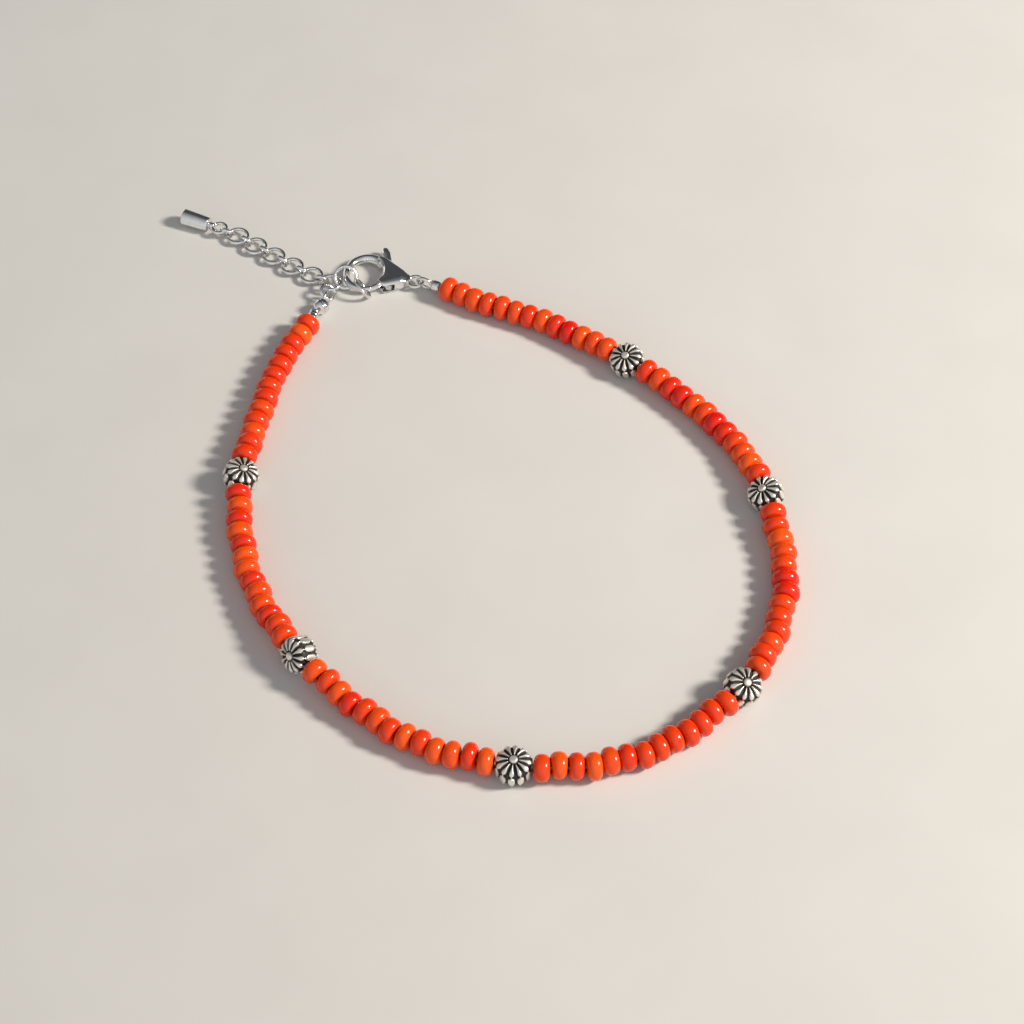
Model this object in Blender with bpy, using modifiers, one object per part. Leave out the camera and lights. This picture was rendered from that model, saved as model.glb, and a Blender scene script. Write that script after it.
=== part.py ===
"""Beaded anklet: seed beads and daisy beads on a thread, closed by a lobster clasp on an extender.

The anklet lies on the plane z = 0 in a loose egg-shaped loop. Layout coordinates are millimetres
in plan, X to the right and Y away; LAYOUT_ORIGIN is the layout point that becomes the part's
origin, the centre of the whole anklet's footprint.
"""

import math

import bmesh
import bpy
from mathutils import Matrix, Vector

# Units and frame
MM = 0.001
LAYOUT_ORIGIN = Vector((-5.396, 5.836, 0.0))
ASSEMBLY = "beaded_anklet"
CUTTERS = "cutters"

# Seed beads and thread
BEAD_DIAMETER = 3.1
BEAD_SIDES = 10
BEAD_FACE_RADIUS = 0.92
BEAD_SHOULDER_RADIUS = 1.42
BEAD_SHOULDER_AT = 0.2
THREAD_RADIUS = 0.28
THREAD_STEP = 0.03
BEADS_PER_STRING = (13, 12, 13, 13, 13, 13, 13)
SIDEWAYS_WANDER = 0.15
END_STUB = 0.3
SMALL_GAP = 0.15

# Daisy beads: radius and height of each ring of the profile, pole to rim, on ridge and groove
DAISY_PETALS = 14
DAISY_HOLE_RADIUS = 0.62
DAISY_REACH = 2.3
DAISY_RINGS = (
    # ridge radius, ridge height, groove radius, groove height
    (0.42, 1.66, 0.42, 1.66),
    (0.58, 1.42, 0.58, 1.38),
    (1.40, 1.60, 1.34, 1.38),
    (2.08, 1.16, 1.88, 0.98),
    (2.30, 0.00, 2.06, 0.00),
)
DAISY_BOSS_TOP = 1.72

# Route of the thread in plan, from the clasp's side round to the extender's side
ROUTE = (
    # x, y, what lies there
    (-9.5, 38.3, "end"),
    (-3.3, 35.1, "bead"),
    (4.9, 31.5, "bead"),
    (15.2, 24.4, "daisy"),
    (23.3, 17.0, "bead"),
    (29.0, 9.3, "bead"),
    (32.0, 1.2, "daisy"),
    (33.6, -10.2, "bead"),
    (32.0, -19.5, "bead"),
    (27.3, -28.6, "daisy"),
    (18.2, -36.4, "bead"),
    (9.6, -39.4, "bead"),
    (0.2, -39.6, "daisy"),
    (-10.2, -36.8, "bead"),
    (-18.4, -31.2, "bead"),
    (-25.4, -24.1, "daisy"),
    (-31.0, -14.6, "bead"),
    (-33.7, -5.4, "bead"),
    (-34.4, 4.4, "daisy"),
    (-32.7, 15.4, "bead"),
    (-30.6, 24.0, "bead"),
    (-27.0, 32.2, "end"),
)
ROUTE_STEPS = 24
# How far each daisy bead's face leans away from the middle of the loop, in degrees
DAISY_LEANS = (-20.0, -24.0, 22.0, 6.0, 62.0, -19.0)
THREAD_RISE_REACH = 4.0

# Chain: round links lying flat, joined by small links standing across
WIRE_RADIUS = 0.21
LINK_RADIUS = 1.37
LINK_HEIGHT = 0.8
LINK_PITCH = 3.3
LINK_SIDES = 12
WIRE_SIDES = 6
LINK_NEAR_CLASP = Vector((-24.46, 40.0, 0.0))
LINK_HEADINGS = (153.0, 147.0, 143.0, 143.0, 143.0)
JOINING_RADIUS = 0.84
JOINING_LEAN = 30.0

# Rings by the clasp, each passing through its neighbours
RINGS_BY_CLASP = (
    # name, middle, azimuth and elevation of the axis, radius
    ("extender_link_1", (-24.71, 39.74, 1.16), (146.6, 86.6), 1.37),
    ("joining_link_1", (-26.07, 40.6, 0.97), (71.5, 24.6), 0.84),
    ("hook_ring", (-22.71, 40.7, 1.24), (-62.1, 46.7), 1.5),
    ("cover_ring", (-25.04, 37.99, 1.12), (-18.1, 48.4), 1.1),
    ("spare_ring", (-20.26, 38.35, 1.43), (23.1, 32.1), 1.43),
)

# Drop on the extender's end
DROP_LENGTH = 4.9
DROP_RADIUS = 1.2
DROP_NECK_RADIUS = 0.42
DROP_LOOP_RADIUS = 0.95
DROP_HEADING = 156.0

# Lobster clasp, in its own frame: origin at the middle of the hook's opening, +X to the eye
CLASP_ORIGIN = Vector((-20.0, 41.6, 0.0))
CLASP_TURN = -12.4
CLASP_THICKNESS = 2.0
HOOK_HALF_LENGTH = 2.65
HOOK_HALF_WIDTH = 2.97
HOOK_TIP_ANGLE = 296.0
HOOK_ROOT_ANGLE = 52.0
HOOK_TIP_RADIUS = 0.42
HOOK_ROOT_RADIUS = 0.72
BLADE_INNER_HALF_LENGTH = 2.25
BLADE_INNER_HALF_WIDTH = 2.55
BLADE_EDGE = 0.35
BLADE_SLOT = (1.75, 4.75, 1.1)
PIN_AT = Vector((3.3, -0.2, 1.0))
PIN_RADIUS = 0.28
HUB_RADIUS = 0.85
LEVER_THICKNESS = 0.8
EYE_AT = Vector((7.0, 0.0, 1.0))
EYE_RADIUS = 1.0
EYE_WIRE_RADIUS = 0.24

SILVER = ("bright_silver", (0.86, 0.86, 0.85), 0.12, 1.0)
OLD_SILVER = ("antiqued_silver", (0.62, 0.6, 0.55), 0.35, 1.0)
ORANGE_GLASS = ("orange_glass", (0.82, 0.07, 0.01), 0.15, 0.0)


def clear_scene():
    """Remove every object, mesh and curve that the file opened with."""
    for item in list(bpy.data.objects):
        bpy.data.objects.remove(item, do_unlink=True)


def collection(name):
    """Return the collection of that name, made and linked if it is new."""
    found = bpy.data.collections.get(name)
    if found is None:
        found = bpy.data.collections.new(name)
        bpy.context.scene.collection.children.link(found)
    return found


def material(finish):
    """Return the Principled material of a finish (name, colour, roughness, metallic)."""
    name, colour, roughness, metallic = finish
    found = bpy.data.materials.get(name)
    if found is None:
        found = bpy.data.materials.new(name)
        found.use_nodes = True
        shader = found.node_tree.nodes["Principled BSDF"]
        shader.inputs["Base Color"].default_value = (*colour, 1.0)
        shader.inputs["Roughness"].default_value = roughness
        shader.inputs["Metallic"].default_value = metallic
    return found


def placed(x, y, z):
    """Turn a layout point in millimetres into the part's frame in metres."""
    return (Vector((x, y, z)) - LAYOUT_ORIGIN) * MM


def adopt(item, name, finish, group=ASSEMBLY):
    """Name an object, give it its finish and move it to its collection."""
    item.name = name
    item.data.name = name
    for owner in list(item.users_collection):
        owner.objects.unlink(item)
    collection(group).objects.link(item)
    item.data.materials.clear()
    item.data.materials.append(material(finish))
    return item


def smooth_mesh(item, angle=40.0):
    """Shade a mesh object smooth, apart from edges sharper than the angle."""
    item.data.shade_smooth()
    item.data.set_sharp_from_angle(angle=math.radians(angle))


def curve_to_mesh(item):
    """Replace a curve object by a mesh object with welded caps, in the same place."""
    graph = bpy.context.evaluated_depsgraph_get()
    mesh = bpy.data.meshes.new_from_object(item.evaluated_get(graph))
    shape = bmesh.new()
    shape.from_mesh(mesh)
    bmesh.ops.remove_doubles(shape, verts=shape.verts, dist=1e-7)
    bmesh.ops.recalc_face_normals(shape, faces=shape.faces)
    shape.to_mesh(mesh)
    shape.free()
    solid = bpy.data.objects.new(item.name + "_mesh", mesh)
    solid.matrix_world = item.matrix_world.copy()
    bpy.context.scene.collection.objects.link(solid)
    bpy.data.objects.remove(item, do_unlink=True)
    return solid


def boolean(target, tool, operation):
    """Cut or join a solid with a tool, which moves to the cutters."""
    adopt(tool, target.name + "_" + operation.lower(), SILVER, CUTTERS)
    tool.hide_render = True
    tool.display_type = "WIRE"
    step = target.modifiers.new(operation.title(), "BOOLEAN")
    step.operation = operation
    step.solver = "EXACT"
    step.object = tool


def tube(name, points, radii, finish, resolution=2, group=ASSEMBLY):
    """Make a wire or string: a curve through points in metres, with a radius in mm at each."""
    data = bpy.data.curves.new(name, "CURVE")
    data.dimensions = "3D"
    data.twist_mode = "Z_UP"
    data.bevel_depth = MM
    data.bevel_resolution = resolution
    data.use_fill_caps = True
    spline = data.splines.new("POLY")
    spline.points.add(len(points) - 1)
    for place, point, radius in zip(spline.points, points, radii):
        place.co = (*point, 1.0)
        place.radius = radius
    item = bpy.data.objects.new(name, data)
    bpy.context.scene.collection.objects.link(item)
    adopt(item, name, finish, group)
    bpy.context.view_layer.update()
    return item


def torus(radius, wire_radius, matrix):
    """Add a ring of round wire and return it, placed by its matrix."""
    bpy.ops.mesh.primitive_torus_add(
        major_segments=LINK_SIDES,
        minor_segments=WIRE_SIDES,
        major_radius=radius * MM,
        minor_radius=wire_radius * MM,
    )
    item = bpy.context.object
    item.matrix_world = matrix
    smooth_mesh(item, 80.0)
    return item


def cylinder(radius, length, sides, matrix):
    """Add a plain round bar along its own Z and return it, placed by its matrix."""
    bpy.ops.mesh.primitive_cylinder_add(vertices=sides, radius=radius * MM, depth=length * MM)
    item = bpy.context.object
    item.matrix_world = matrix
    smooth_mesh(item)
    return item


def facing(direction):
    """Return the rotation that turns +Z to a direction."""
    return direction.to_track_quat("Z", "Y").to_matrix().to_4x4()


def at(point, direction):
    """Return the matrix that stands a piece at a layout point with its Z along a direction."""
    return Matrix.Translation(placed(*point)) @ facing(direction)


def bearing(azimuth, elevation):
    """Return the unit direction at an azimuth from +X and an elevation, in degrees."""
    turn, rise = math.radians(azimuth), math.radians(elevation)
    flat = math.cos(rise)
    return Vector((flat * math.cos(turn), flat * math.sin(turn), math.sin(rise)))


def smooth_through(points, steps):
    """Return a smooth curve through hand-chosen points, with steps pieces between two of them."""
    first = 2 * points[0] - points[1]
    last = 2 * points[-1] - points[-2]
    chain = [first, *points, last]
    curve = []
    for before, start, end, after in zip(chain, chain[1:], chain[2:], chain[3:]):
        for step in range(steps):
            t = step / steps
            bend = 2 * before - 5 * start + 4 * end - after
            twist = 3 * start - before - 3 * end + after
            curve.append(start + 0.5 * t * ((end - before) + t * (bend + t * twist)))
    curve.append(points[-1].copy())
    return curve


def daisy_half_height(lean):
    """Return how far a daisy bead reaches below its middle when its face leans."""
    across, up = abs(math.sin(math.radians(lean))), abs(math.cos(math.radians(lean)))
    return max(ring[0] * across + ring[1] * up for ring in DAISY_RINGS)


class ThreadRoute:
    """The line of the thread: a smooth plan through ROUTE that rises through each daisy bead."""

    def __init__(self):
        """Measure the route and find where the daisy beads sit on it."""
        points = [Vector((x, y, 0.0)) for x, y, _ in ROUTE]
        self.plan = smooth_through(points, ROUTE_STEPS)
        self.distance = [0.0]
        for start, end in zip(self.plan, self.plan[1:]):
            self.distance.append(self.distance[-1] + (end - start).length)
        self.length = self.distance[-1]
        marks = [index for index, row in enumerate(ROUTE) if row[2] == "daisy"]
        self.daisies = [self.distance[index * ROUTE_STEPS] for index in marks]
        self.rises = [daisy_half_height(lean) - BEAD_DIAMETER / 2 for lean in DAISY_LEANS]

    def height(self, along):
        """Return the thread's height at a distance along it."""
        height = BEAD_DIAMETER / 2
        for place, rise in zip(self.daisies, self.rises):
            away = max(0.0, abs(along - place) - DAISY_REACH) / THREAD_RISE_REACH
            height += rise * math.exp(-away * away)
        return height

    def point(self, along):
        """Return the layout point at a distance along the thread."""
        along = min(max(along, 0.0), self.length)
        index = 0
        while index < len(self.distance) - 2 and self.distance[index + 1] < along:
            index += 1
        step = self.distance[index + 1] - self.distance[index]
        share = (along - self.distance[index]) / step
        point = self.plan[index].lerp(self.plan[index + 1], share)
        point.z = self.height(along)
        return point

    def tangent(self, along):
        """Return the thread's unit direction at a distance along it."""
        ahead = self.point(min(along + 0.3, self.length))
        behind = self.point(max(along - 0.3, 0.0))
        return (ahead - behind).normalized()


def wander(number):
    """Return how far a bead sits to one side of the thread's line."""
    return SIDEWAYS_WANDER * (math.sin(1.9 * number) + 0.6 * math.sin(4.3 * number + 1.0))


def bead_string(name, route, start, end, count, first_number, stubs):
    """Make one stretch of seed beads as a solid string of ridged rounds.

    start and end are distances along the route; stubs says how far the thread stands out
    before the first bead and after the last one.
    """
    pitch = (end - start) / count
    radius = BEAD_DIAMETER / 2 / math.cos(math.pi / BEAD_SIDES)
    centres = []
    for number in range(count):
        along = start + (number + 0.5) * pitch
        direction = route.tangent(along)
        side = Vector((-direction.y, direction.x, 0.0)).normalized()
        centres.append((route.point(along) + side * wander(first_number + number), direction))
    points, radii = [], []

    def station(point, size):
        points.append(placed(*point))
        radii.append(size)

    face = centres[0][0] - centres[0][1] * (pitch / 2)
    station(route.point(start - stubs[0]), THREAD_RADIUS)
    station(face - centres[0][1] * THREAD_STEP, THREAD_RADIUS)
    station(face, BEAD_FACE_RADIUS)
    for number, (centre, direction) in enumerate(centres):
        station(centre - direction * pitch * (0.5 - BEAD_SHOULDER_AT), BEAD_SHOULDER_RADIUS)
        station(centre, radius)
        station(centre + direction * pitch * (0.5 - BEAD_SHOULDER_AT), BEAD_SHOULDER_RADIUS)
        face = centre + direction * (pitch / 2)
        if number + 1 < count:
            after, its_direction = centres[number + 1]
            face = (face + after - its_direction * (pitch / 2)) / 2
        station(face, BEAD_FACE_RADIUS)
    station(face + centres[-1][1] * THREAD_STEP, THREAD_RADIUS)
    station(route.point(end + stubs[1]), THREAD_RADIUS)
    return tube(name, points, radii, ORANGE_GLASS, resolution=(BEAD_SIDES - 4) // 2)


def bead_strings(route):
    """Make the seven stretches of seed beads between the ends and the daisy beads."""
    clear = DAISY_REACH + SMALL_GAP
    starts = [0.0] + [place + clear for place in route.daisies]
    ends = [place - clear for place in route.daisies] + [route.length]
    number = 0
    for index, (start, end, count) in enumerate(zip(starts, ends, BEADS_PER_STRING)):
        into_daisy = DAISY_REACH - SMALL_GAP
        before = into_daisy if index else END_STUB
        after = into_daisy if index + 1 < len(starts) else END_STUB
        name = f"bead_string_{index + 1}"
        bead_string(name, route, start, end, count, number, (before, after))
        number += count


def daisy_bead(name, centre, direction, lean):
    """Make a daisy bead: a squashed globe with petals, drilled across for the thread."""
    rings = 2 * len(DAISY_RINGS)
    shape = bmesh.new()
    bmesh.ops.create_uvsphere(shape, u_segments=2 * DAISY_PETALS, v_segments=rings, radius=1.0)
    for vertex in shape.verts:
        polar = math.acos(max(-1.0, min(1.0, vertex.co.z)))
        ring = round(polar / math.pi * rings)
        side = 1.0 if ring <= rings // 2 else -1.0
        level = min(ring, rings - ring)
        if level == 0:
            vertex.co = (0.0, 0.0, side * DAISY_BOSS_TOP * MM)
            continue
        turn = math.atan2(vertex.co.y, vertex.co.x)
        spoke = round(turn / math.pi * DAISY_PETALS)
        ridge_radius, ridge_height, groove_radius, groove_height = DAISY_RINGS[level - 1]
        on_ridge = spoke % 2 == 0
        radius = ridge_radius if on_ridge else groove_radius
        height = ridge_height if on_ridge else groove_height
        across = Vector((math.cos(turn), math.sin(turn), 0.0)) * radius
        vertex.co = (across + Vector((0.0, 0.0, side * height))) * MM
    mesh = bpy.data.meshes.new(name)
    shape.to_mesh(mesh)
    shape.free()
    item = bpy.data.objects.new(name, mesh)
    bpy.context.scene.collection.objects.link(item)
    yaw = math.atan2(direction.y, direction.x)
    turn = Matrix.Rotation(yaw, 4, "Z") @ Matrix.Rotation(-math.radians(lean), 4, "X")
    item.matrix_world = Matrix.Translation(placed(*centre)) @ turn
    adopt(item, name, OLD_SILVER)
    smooth_mesh(item, 50.0)
    across = item.matrix_world @ Matrix.Rotation(math.pi / 2, 4, "Y")
    boolean(item, cylinder(DAISY_HOLE_RADIUS, 4 * DAISY_REACH, 8, across), "DIFFERENCE")


def daisy_beads(route):
    """Make the six daisy beads where the route passes through them."""
    for index, (place, lean) in enumerate(zip(route.daisies, DAISY_LEANS)):
        name = f"daisy_bead_{index + 1}"
        daisy_bead(name, route.point(place), route.tangent(place), lean)


def ring(name, point, normal, radius):
    """Make a jump ring or chain link at a layout point, facing along its normal."""
    item = torus(radius, WIRE_RADIUS, at(point, normal))
    return adopt(item, name, SILVER)


def link_places():
    """Return the layout points of the extender's flat links, from the clasp outwards."""
    places = [LINK_NEAR_CLASP]
    for heading in LINK_HEADINGS:
        places.append(places[-1] + bearing(heading, 0.0) * LINK_PITCH)
    return places


def extender_chain():
    """Make the rest of the extender: flat links, and the small links that stand across."""
    places = link_places()[1:]
    up = Vector((0.0, 0.0, 1.0))
    for number, place in enumerate(places, start=2):
        ring(f"extender_link_{number}", (place.x, place.y, LINK_HEIGHT), up, LINK_RADIUS)
    lean = math.radians(JOINING_LEAN)
    height = JOINING_RADIUS * math.cos(lean) + WIRE_RADIUS
    for number, (start, end) in enumerate(zip(places, places[1:]), start=2):
        along = (end - start).normalized()
        across = Vector((-along.y, along.x, 0.0))
        normal = across * -math.cos(lean) + up * math.sin(lean)
        middle = (start + end) / 2
        ring(f"joining_link_{number}", (middle.x, middle.y, height), normal, JOINING_RADIUS)


def rings_by_clasp():
    """Make the rings and links that join the clasp, the extender and the crimp cover."""
    for name, middle, (azimuth, elevation), radius in RINGS_BY_CLASP:
        ring(name, middle, bearing(azimuth, elevation), radius)


def turned(name, profile, sides, matrix, finish):
    """Turn a profile of (radius, height) in mm about its own Z, and place it."""
    mesh = bpy.data.meshes.new(name)
    points = [(radius * MM, 0.0, height * MM) for radius, height in profile]
    mesh.from_pydata(points, [(i, i + 1) for i in range(len(points) - 1)], [])
    item = bpy.data.objects.new(name, mesh)
    bpy.context.scene.collection.objects.link(item)
    item.matrix_world = matrix
    adopt(item, name, finish)
    screw = item.modifiers.new("Turn", "SCREW")
    screw.steps = sides
    screw.render_steps = sides
    screw.use_merge_vertices = True
    screw.merge_threshold = 1e-6
    screw.use_smooth_shade = True
    return item


def clasp_frame():
    """Return the matrix of the clasp's own frame, in metres."""
    turn = Matrix.Rotation(math.radians(CLASP_TURN), 4, "Z")
    return Matrix.Translation(placed(*CLASP_ORIGIN)) @ turn


def hook_line(angle):
    """Return the middle of the hook's wire at an angle round the opening, in the clasp's frame."""
    turn = math.radians(angle)
    x, y = HOOK_HALF_LENGTH * math.cos(turn), HOOK_HALF_WIDTH * math.sin(turn)
    return Vector((x, y, CLASP_THICKNESS / 2))


def blade_outline():
    """Return the outline of the clasp's two cheeks: the opening's edge, then the outer edge."""
    inner = []
    for step in range(8):
        turn = math.radians(-38.0 + step * 14.5)
        x, y = BLADE_INNER_HALF_LENGTH * math.cos(turn), BLADE_INNER_HALF_WIDTH * math.sin(turn)
        inner.append(Vector((x, y, 0.0)))
    top = [Vector(p) for p in ((0.9, 3.3, 0), (2.4, 2.85, 0), (4.2, 1.7, 0), (6.0, 0.72, 0))]
    bottom = [Vector(p) for p in ((6.0, -0.72, 0), (4.6, -1.5, 0), (3.4, -2.2, 0), (2.5, -2.45, 0))]
    return inner + smooth_through(top, 2) + smooth_through(bottom, 2)


def clasp_blade(frame):
    """Make the clasp's cheeks as one rounded plate, before the lever's slot is cut."""
    data = bpy.data.curves.new("clasp_body", "CURVE")
    data.dimensions = "2D"
    data.fill_mode = "BOTH"
    data.bevel_depth = BLADE_EDGE * MM
    data.bevel_resolution = 1
    data.offset = -BLADE_EDGE * MM
    data.extrude = (CLASP_THICKNESS / 2 - BLADE_EDGE) * MM
    spline = data.splines.new("POLY")
    outline = blade_outline()
    spline.points.add(len(outline) - 1)
    for place, point in zip(spline.points, outline):
        place.co = (point.x * MM, point.y * MM, 0.0, 1.0)
    spline.use_cyclic_u = True
    item = bpy.data.objects.new("clasp_body", data)
    bpy.context.scene.collection.objects.link(item)
    item.matrix_world = frame @ Matrix.Translation((0.0, 0.0, CLASP_THICKNESS / 2 * MM))
    bpy.context.view_layer.update()
    return curve_to_mesh(item)


def clasp_tube(name, frame, points, radii):
    """Make a round bar through points of the clasp's frame, as a mesh."""
    places = [frame @ (point * MM) for point in points]
    return curve_to_mesh(tube(name, places, radii, SILVER, group=CUTTERS))


def clasp_body(frame):
    """Make the clasp's body: cheeks, hook, eye and pin as one casting, slotted for the lever."""
    body = clasp_blade(frame)
    adopt(body, "clasp_body", SILVER)
    hook_steps = 13
    points, radii = [], []
    for step in range(hook_steps):
        share = step / (hook_steps - 1)
        angle = HOOK_ROOT_ANGLE + share * (HOOK_TIP_ANGLE - HOOK_ROOT_ANGLE)
        points.append(hook_line(angle))
        radii.append(HOOK_ROOT_RADIUS + share ** 0.5 * (HOOK_TIP_RADIUS - HOOK_ROOT_RADIUS))
    boolean(body, clasp_tube("hook", frame, points, radii), "UNION")
    eye_matrix = frame @ Matrix.Translation(EYE_AT * MM)
    boolean(body, torus(EYE_RADIUS, EYE_WIRE_RADIUS, eye_matrix), "UNION")
    left, right, height = BLADE_SLOT
    middle = Vector(((left + right) / 2, 0.0, CLASP_THICKNESS / 2)) * MM
    bpy.ops.mesh.primitive_cube_add(size=1.0)
    slot = bpy.context.object
    size = Matrix.Diagonal((*(Vector((right - left, 9.0, height)) * MM), 1.0))
    slot.data.transform(size)
    slot.matrix_world = frame @ Matrix.Translation(middle)
    boolean(body, slot, "DIFFERENCE")
    pin_length = CLASP_THICKNESS - 0.6
    pin = cylinder(PIN_RADIUS, pin_length, 10, frame @ Matrix.Translation(PIN_AT * MM))
    boolean(body, pin, "UNION")
    smooth_mesh(body)
    return body


def clasp_lever(frame):
    """Make the gate, its hub on the pin and its thumb tab as one piece, turning on the pin."""
    hub_matrix = frame @ Matrix.Translation(PIN_AT * MM)
    lever = cylinder(HUB_RADIUS, LEVER_THICKNESS, 12, hub_matrix)
    adopt(lever, "clasp_lever", SILVER)
    gate = [hook_line(angle) for angle in (301.5, 310.0, 320.0, 330.0)]
    gate.append(PIN_AT + Vector((-0.35, -0.3, 0.0)))
    radius = LEVER_THICKNESS / 2
    gate_radii = (0.38, 0.39, radius, radius, radius)
    boolean(lever, clasp_tube("gate", frame, gate, gate_radii), "UNION")
    tail = [
        PIN_AT + Vector((0.0, 0.25, 0.0)),
        PIN_AT + Vector((-0.3, 1.6, 0.0)),
        PIN_AT + Vector((-0.75, 3.0, 0.0)),
        PIN_AT + Vector((-1.35, 4.25, 0.0)),
        PIN_AT + Vector((-1.85, 5.1, 0.0)),
        PIN_AT + Vector((-1.98, 5.45, 0.0)),
    ]
    tail_radii = (0.36, 0.36, 0.38, 0.46, 0.52, 0.34)
    boolean(lever, clasp_tube("tail", frame, tail, tail_radii), "UNION")
    hole = cylinder(PIN_RADIUS + SMALL_GAP, 2 * CLASP_THICKNESS, 10, hub_matrix)
    boolean(lever, hole, "DIFFERENCE")
    return lever


def crimp_right():
    """Make the crimp tube beside the first bead, with the wire loop that holds the clasp's eye."""
    along = Vector((0.91, -0.41, 0.0)).normalized()
    eye = Vector((-13.2, 40.1, 0.0))
    loop = eye + along * 1.46
    loop_radius = 1.05
    tube_length = 1.35
    middle = loop + along * (loop_radius + tube_length / 2 - 0.05)
    item = cylinder(0.78, tube_length, 10, at((middle.x, middle.y, 1.45), along))
    adopt(item, "crimp_right", SILVER)
    across = Vector((-along.y, along.x, 0.25)).normalized()
    boolean(item, torus(loop_radius, WIRE_RADIUS, at((loop.x, loop.y, 1.32), across)), "UNION")


def crimp_left():
    """Make the crimp tube after the last bead."""
    along = Vector((0.25, 0.97, 0.0)).normalized()
    item = cylinder(0.72, 1.4, 10, at((-26.75, 33.25, 1.45), along))
    adopt(item, "crimp_left", SILVER)


def crimp_cover():
    """Make the round crimp cover with the loop on its far side."""
    centre = Vector((-25.75, 35.25, 1.12))
    bpy.ops.mesh.primitive_uv_sphere_add(segments=12, ring_count=8, radius=1.1 * MM)
    item = bpy.context.object
    item.matrix_world = Matrix.Translation(placed(*centre))
    adopt(item, "crimp_cover", SILVER)
    smooth_mesh(item, 80.0)
    loop = Vector((-25.3, 36.9, 1.02))
    normal = Vector((-0.965, 0.262, 0.0))
    boolean(item, torus(0.8, WIRE_RADIUS, at(loop, normal)), "UNION")


def extender_drop():
    """Make the polished drop on the extender's end, its loop and the small link that holds it."""
    last = link_places()[-1]
    outwards = bearing(DROP_HEADING, 0.0)
    lean = Vector((outwards.y, -outwards.x, 0.6)).normalized()
    slack = WIRE_RADIUS + WIRE_RADIUS + SMALL_GAP
    joint = last + outwards * (LINK_RADIUS + JOINING_RADIUS - slack)
    ring("joining_link_0", (joint.x, joint.y, LINK_HEIGHT + 0.12), lean, JOINING_RADIUS)
    loop = joint + outwards * (JOINING_RADIUS + DROP_LOOP_RADIUS - slack)
    tip = loop + outwards * (DROP_LOOP_RADIUS + DROP_LENGTH - WIRE_RADIUS)
    along = -outwards
    profile = (
        (0.0, DROP_LENGTH),
        (DROP_NECK_RADIUS, DROP_LENGTH),
        (DROP_NECK_RADIUS + 0.2, DROP_LENGTH - 0.3),
        (DROP_RADIUS - 0.08, DROP_LENGTH - 0.65),
        (DROP_RADIUS, DROP_LENGTH - 0.8),
        (DROP_RADIUS, 0.75),
        (DROP_RADIUS - 0.14, 0.32),
        (DROP_RADIUS - 0.54, 0.06),
        (0.0, 0.0),
    )
    tip.z = loop.z = DROP_RADIUS
    item = turned("extender_drop", profile, 14, at(tip, along), SILVER)
    flat_loop = at(loop, Vector((0.0, 0.0, 1.0)))
    boolean(item, torus(DROP_LOOP_RADIUS, WIRE_RADIUS, flat_loop), "UNION")


def build():
    """Build the whole anklet."""
    clear_scene()
    route = ThreadRoute()
    bead_strings(route)
    daisy_beads(route)
    frame = clasp_frame()
    clasp_body(frame)
    clasp_lever(frame)
    crimp_right()
    crimp_left()
    crimp_cover()
    rings_by_clasp()
    extender_chain()
    extender_drop()


build()
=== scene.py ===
"""Looks of a beaded anklet: fine seed beads, daisy beads, clasp, rings, crimps and extender."""

import logging
import math
import random
from dataclasses import dataclass, field
from enum import Enum

import bmesh
import bpy
import numpy as np
from mathutils import Matrix, Vector


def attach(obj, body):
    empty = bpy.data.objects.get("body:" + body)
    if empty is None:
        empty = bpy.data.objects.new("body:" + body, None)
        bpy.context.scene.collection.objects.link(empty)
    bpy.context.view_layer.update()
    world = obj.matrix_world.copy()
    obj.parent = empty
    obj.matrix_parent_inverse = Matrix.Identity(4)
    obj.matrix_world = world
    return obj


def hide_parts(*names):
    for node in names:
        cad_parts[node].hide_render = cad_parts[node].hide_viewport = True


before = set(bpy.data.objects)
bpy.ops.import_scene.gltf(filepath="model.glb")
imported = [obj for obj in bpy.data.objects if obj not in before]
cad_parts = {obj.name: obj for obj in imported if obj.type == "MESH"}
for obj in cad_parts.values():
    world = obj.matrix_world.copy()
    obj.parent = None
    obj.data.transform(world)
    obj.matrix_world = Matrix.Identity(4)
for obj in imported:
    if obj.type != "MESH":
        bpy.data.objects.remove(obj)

MM = 0.001
BODY = "anklet"
LEVER_BODY = "clasp_lever"
LAYOUT_ORIGIN = Vector((-5.396, 5.836, 0.0))
log = logging.getLogger("anklet")
Paint = dict[str, np.ndarray]


class Slot(Enum):
    """The record's material slots."""

    GLASS = "orange_glass"
    OLD_SILVER = "antiqued_silver"
    SILVER = "bright_silver"


def placed(x: float, y: float, z: float) -> Vector:
    """Turn a layout point in millimetres into the part's frame in metres.

    Args:
        x: Distance to the right, in millimetres.
        y: Distance away, in millimetres.
        z: Height, in millimetres.

    Returns:
        The point in metres.
    """
    return (Vector((x, y, z)) - LAYOUT_ORIGIN) * MM


def bearing(azimuth: float, elevation: float) -> Vector:
    """Return a unit direction.

    Args:
        azimuth: Degrees round from +X.
        elevation: Degrees above the plane.

    Returns:
        The direction.
    """
    turn, rise = math.radians(azimuth), math.radians(elevation)
    flat = math.cos(rise)
    return Vector((flat * math.cos(turn), flat * math.sin(turn), math.sin(rise)))


def at(point: Vector, direction: Vector) -> Matrix:
    """Stand a piece, made in millimetres, at a layout point with its Z along a direction.

    Args:
        point: Layout point in millimetres.
        direction: Where the piece's Z goes.

    Returns:
        The matrix from millimetres round the piece to metres in the part's frame.
    """
    turn = direction.to_track_quat("Z", "Y").to_matrix().to_4x4()
    return Matrix.Translation(placed(*point)) @ turn @ Matrix.Scale(MM, 4)


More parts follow.
